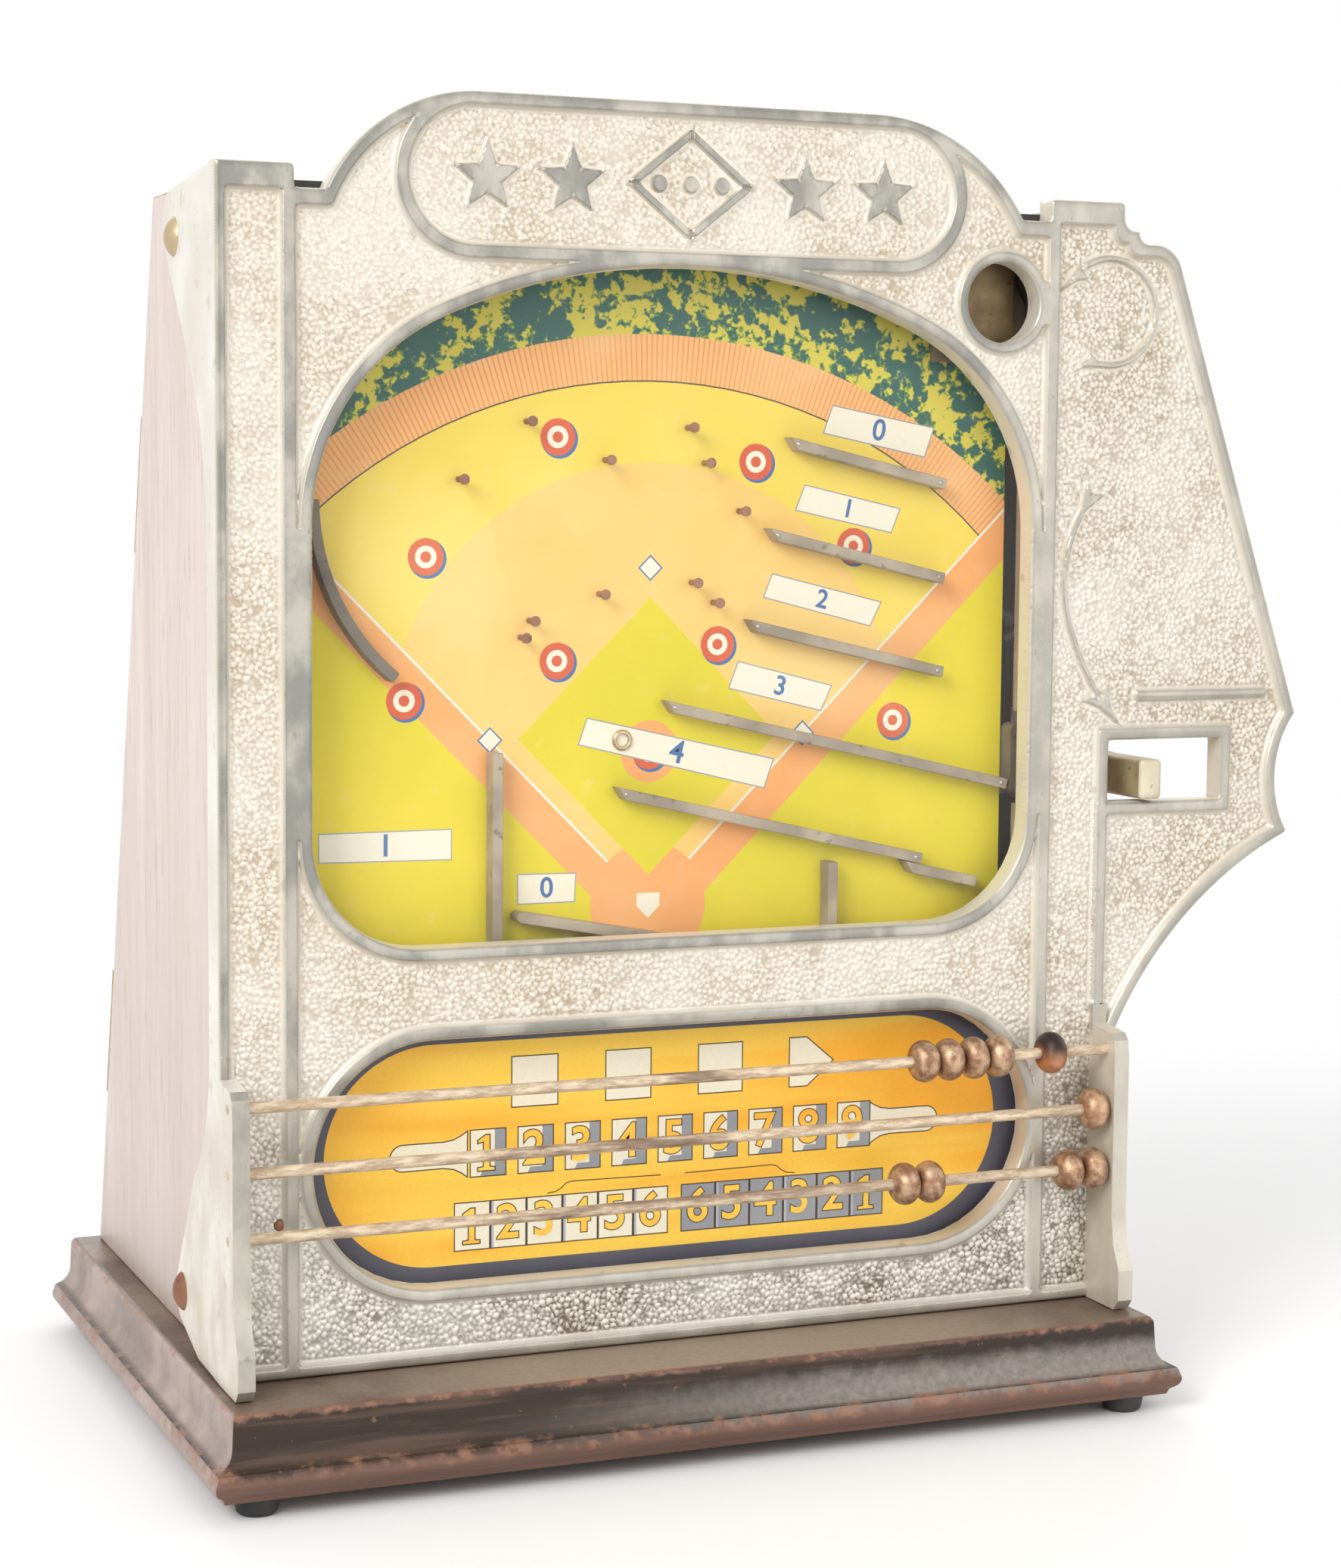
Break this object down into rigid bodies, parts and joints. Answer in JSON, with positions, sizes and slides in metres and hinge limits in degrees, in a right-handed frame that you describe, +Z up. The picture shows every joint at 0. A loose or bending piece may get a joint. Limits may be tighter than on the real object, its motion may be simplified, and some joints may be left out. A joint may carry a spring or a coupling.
{
  "type": "countertop arcade baseball game",
  "caption": "Coin-operated countertop baseball game: ribbed pebbled cast front, glazed playfield with rails, pull lever with a bat, score beads on rods, leaning wooden cabinet",
  "frame": {"origin": "middle of the bounding box's underside, at table level under the rubber feet", "axes": "+X to the player's right, +Y to the back, +Z up; the front looks along -Y"},
  "size_m": [0.3312, 0.2055, 0.361],
  "materials": {
    "cast_aluminium": "cast, weathered, ribs polished by wear",
    "mahogany": "varnished red-brown, worn",
    "dark_wood": "dark stain, chipped at the edges",
    "bare_wood": "raw board",
    "black_board": "black paint",
    "rubber": "matt",
    "steel": "dull with rust spots",
    "tarnished_rail": "dull, tarnished",
    "tarnished_rod": "dull, tarnished",
    "screw_brass": "worn",
    "bead_bronze": "oxidised coppery bronze",
    "bead_dark": "blackened bronze",
    "glass": "clear",
    "field_paper": "printed sheet, aged",
    "card_paper": "printed card, aged",
    "bone": "worn cream paint",
    "nickel": "dull nickel"
  },
  "bodies": {
    "cabinet": {"base_plinth": "dark_wood", "rubber_feet": "rubber", "foot_screws": "steel", "left_side_panel": "mahogany", "right_side_panel": "mahogany", "top_board": "black_board", "front_casting": "cast_aluminium", "flange_screws": "screw_brass", "window_glass": "glass", "side_strips": "dark_wood", "playfield_board": "bare_wood", "playfield_sheet": "field_paper", "field_pins": "screw_brass", "pocket_eyelet": "screw_brass", "upper_shelf_rail": "tarnished_rail", "middle_shelf_rail": "tarnished_rail", "lower_shelf_rail": "tarnished_rail", "launch_rail": "tarnished_rail", "return_rail": "tarnished_rail", "step_rail": "tarnished_rail", "left_divider": "tarnished_rail", "right_divider": "tarnished_rail", "round_end_rail": "tarnished_rail", "curved_deflector": "tarnished_rail", "coin_plate": "tarnished_rail", "score_card": "card_paper", "score_backer": "bare_wood", "board_battens": "bare_wood", "pivot_bracket": "steel", "pivot_stud": "steel", "arm_stop": "rubber", "spring_post": "steel", "return_spring": "steel", "top_score_rod": "tarnished_rod", "middle_score_rod": "tarnished_rod", "bottom_score_rod": "tarnished_rod", "door_stops": "bare_wood", "hinge_fixed_leaves": "screw_brass", "hinge_pins": "steel"},
    "lever": {"lever_arm": "steel", "finger_bar": "bone", "bat": "nickel"},
    "door": {"back_door": "mahogany", "hinge_door_leaves": "screw_brass", "lock_barrel": "screw_brass"},
    "cam": {"lock_cam": "steel", "cam_screw": "steel"},
    "run_bead_1": {"run_bead_1": "bead_bronze"},
    "run_bead_2": {"run_bead_2": "bead_bronze"},
    "run_bead_3": {"run_bead_3": "bead_bronze"},
    "run_bead_4": {"run_bead_4": "bead_bronze"},
    "run_bead_5": {"run_bead_5": "bead_dark"},
    "inning_bead": {"inning_bead": "bead_bronze"},
    "score_bead_1": {"score_bead_1": "bead_bronze"},
    "score_bead_2": {"score_bead_2": "bead_bronze"},
    "score_bead_3": {"score_bead_3": "bead_bronze"},
    "score_bead_4": {"score_bead_4": "bead_bronze"}
  },
  "joints": [
    {"name": "lever_pull", "type": "hinge", "parent": "cabinet", "child": "lever", "pos_m": [0.07895, -0.04565, 0.31], "axis": [0, -1, 0], "range_deg": [0, 6], "stiffness_Nm_per_rad": 1.2, "springref_deg": -5.73, "deforming": ["return_spring"]},
    {"name": "door_swing", "type": "hinge", "parent": "cabinet", "child": "door", "pos_m": [-0.13945, 0.06261, 0.17261], "axis": [0, -0.2583, 0.9661], "range_deg": [0, 100]},
    {"name": "lock_turn", "type": "hinge", "parent": "door", "child": "cam", "pos_m": [0.06565, 0.03879, 0.17148], "axis": [0, -0.9661, -0.2583], "range_deg": [0, 90]},
    {"name": "run_bead_1_slide", "type": "slide", "parent": "cabinet", "child": "run_bead_1", "axis": [1, 0, 0], "range_m": [-0.188, 0]},
    {"name": "run_bead_2_slide", "type": "slide", "parent": "cabinet", "child": "run_bead_2", "axis": [1, 0, 0], "range_m": [-0.141, 0]},
    {"name": "run_bead_3_slide", "type": "slide", "parent": "cabinet", "child": "run_bead_3", "axis": [1, 0, 0], "range_m": [-0.094, 0]},
    {"name": "run_bead_4_slide", "type": "slide", "parent": "cabinet", "child": "run_bead_4", "axis": [1, 0, 0], "range_m": [-0.047, 0]},
    {"name": "run_bead_5_slide", "type": "slide", "parent": "cabinet", "child": "run_bead_5", "axis": [1, 0, 0], "range_m": [-0.009, 0.0137]},
    {"name": "inning_bead_slide", "type": "slide", "parent": "cabinet", "child": "inning_bead", "axis": [1, 0, 0], "range_m": [-0.243, 0]},
    {"name": "score_bead_1_slide", "type": "slide", "parent": "cabinet", "child": "score_bead_1", "axis": [1, 0, 0], "range_m": [-0.182, 0]},
    {"name": "score_bead_2_slide", "type": "slide", "parent": "cabinet", "child": "score_bead_2", "axis": [1, 0, 0], "range_m": [-0.091, 0]},
    {"name": "score_bead_3_slide", "type": "slide", "parent": "cabinet", "child": "score_bead_3", "axis": [1, 0, 0], "range_m": [-0.034, 0]},
    {"name": "score_bead_4_slide", "type": "slide", "parent": "cabinet", "child": "score_bead_4", "axis": [1, 0, 0], "range_m": [-0.017, 0]}
  ],
  "couplings": [
    {"joint": "run_bead_2_slide", "follows": "run_bead_1_slide", "ratio": 0.75},
    {"joint": "run_bead_3_slide", "follows": "run_bead_1_slide", "ratio": 0.5},
    {"joint": "run_bead_4_slide", "follows": "run_bead_1_slide", "ratio": 0.25},
    {"joint": "score_bead_2_slide", "follows": "score_bead_1_slide", "ratio": 0.5},
    {"joint": "score_bead_4_slide", "follows": "score_bead_3_slide", "ratio": 0.5}
  ]
}
